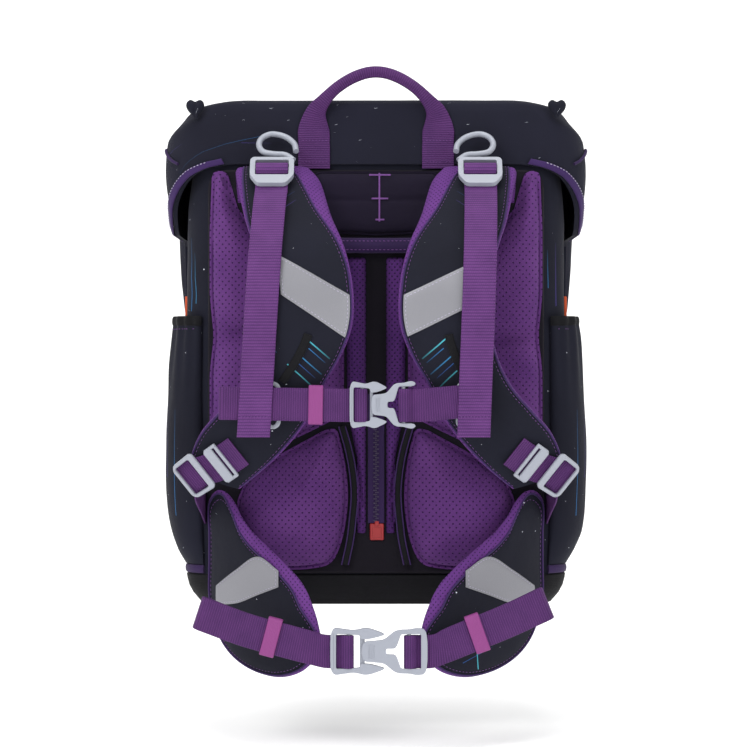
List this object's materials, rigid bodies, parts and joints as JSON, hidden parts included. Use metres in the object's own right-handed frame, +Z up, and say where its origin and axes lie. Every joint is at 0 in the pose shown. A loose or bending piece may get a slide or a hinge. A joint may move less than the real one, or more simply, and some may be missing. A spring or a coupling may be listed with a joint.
{
  "type": "school backpack",
  "caption": "School backpack with a hooded lid, padded mesh back, curved shoulder straps joined by a chest strap, side pockets, a carry handle, and hip fins with a buckled belt.",
  "frame": {"origin": "the inner top of the carry handle, where a hook or hand lifts the bag", "axes": "+Z up along the bag, -Y towards the wearer out of the padded back, +Y towards the front flap, +X to the right as the padded back is seen"},
  "size_m": [0.3404, 0.3179, 0.4725],
  "materials": {
    "shell_cloth": "woven polyester, dark navy",
    "trim_cloth": "woven binding and piping, dark violet",
    "webbing": "ribbed woven webbing, purple",
    "red_pull": "moulded pull, red",
    "buckle_plastic": "moulded acetal, light cool grey",
    "orange_loop": "woven tape, orange",
    "spacer_mesh": "perforated spacer mesh, purple",
    "reflective_film": "silver grey reflective film on cloth",
    "keeper_elastic": "soft elastic keeper, magenta"
  },
  "bodies": {
    "root": {"bag_shell": "shell_cloth", "base_boot": "shell_cloth", "base_trim": "trim_cloth", "lid": "shell_cloth", "back_board": "shell_cloth", "harness_yoke": "trim_cloth", "neck_panel": "shell_cloth", "spine_zip": "webbing", "zip_pull": "red_pull", "carry_handle": "webbing", "lid_clasp": "buckle_plastic", "side_pocket_left": "shell_cloth", "side_tab_left": "orange_loop", "lid_binding_left": "trim_cloth", "lid_piping_left": "trim_cloth", "corner_knot_left": "shell_cloth", "side_pad_left": "spacer_mesh", "lumbar_pad_left": "spacer_mesh", "spine_strip_left": "spacer_mesh", "lumbar_bead_left": "trim_cloth", "shoulder_strap_left": "shell_cloth", "strap_reflector_left": "reflective_film", "lifter_hook_left": "buckle_plastic", "lifter_webbing_left": "webbing", "chest_clip_left": "buckle_plastic", "chest_webbing_left": "webbing", "strap_adjuster_left": "buckle_plastic", "strap_frame_left": "buckle_plastic", "lower_webbing_left": "webbing", "hip_fin_left": "shell_cloth", "hip_reflector_left": "reflective_film", "hip_belt_left": "webbing", "belt_keeper_left": "keeper_elastic", "side_pocket_right": "shell_cloth", "side_tab_right": "orange_loop", "lid_binding_right": "trim_cloth", "lid_piping_right": "trim_cloth", "corner_knot_right": "shell_cloth", "side_pad_right": "spacer_mesh", "lumbar_pad_right": "spacer_mesh", "spine_strip_right": "spacer_mesh", "lumbar_bead_right": "trim_cloth", "shoulder_strap_right": "shell_cloth", "strap_reflector_right": "reflective_film", "lifter_hook_right": "buckle_plastic", "lifter_webbing_right": "webbing", "chest_clip_right": "buckle_plastic", "chest_webbing_right": "webbing", "strap_adjuster_right": "buckle_plastic", "strap_frame_right": "buckle_plastic", "lower_webbing_right": "webbing", "hip_fin_right": "shell_cloth", "hip_reflector_right": "reflective_film", "hip_belt_right": "webbing", "belt_keeper_right": "keeper_elastic", "chest_keeper": "keeper_elastic", "chest_buckle_frame": "buckle_plastic", "chest_buckle_plate": "buckle_plastic", "hip_buckle_frame": "buckle_plastic", "hip_buckle_plate": "buckle_plastic"}
  },
  "joints": []
}
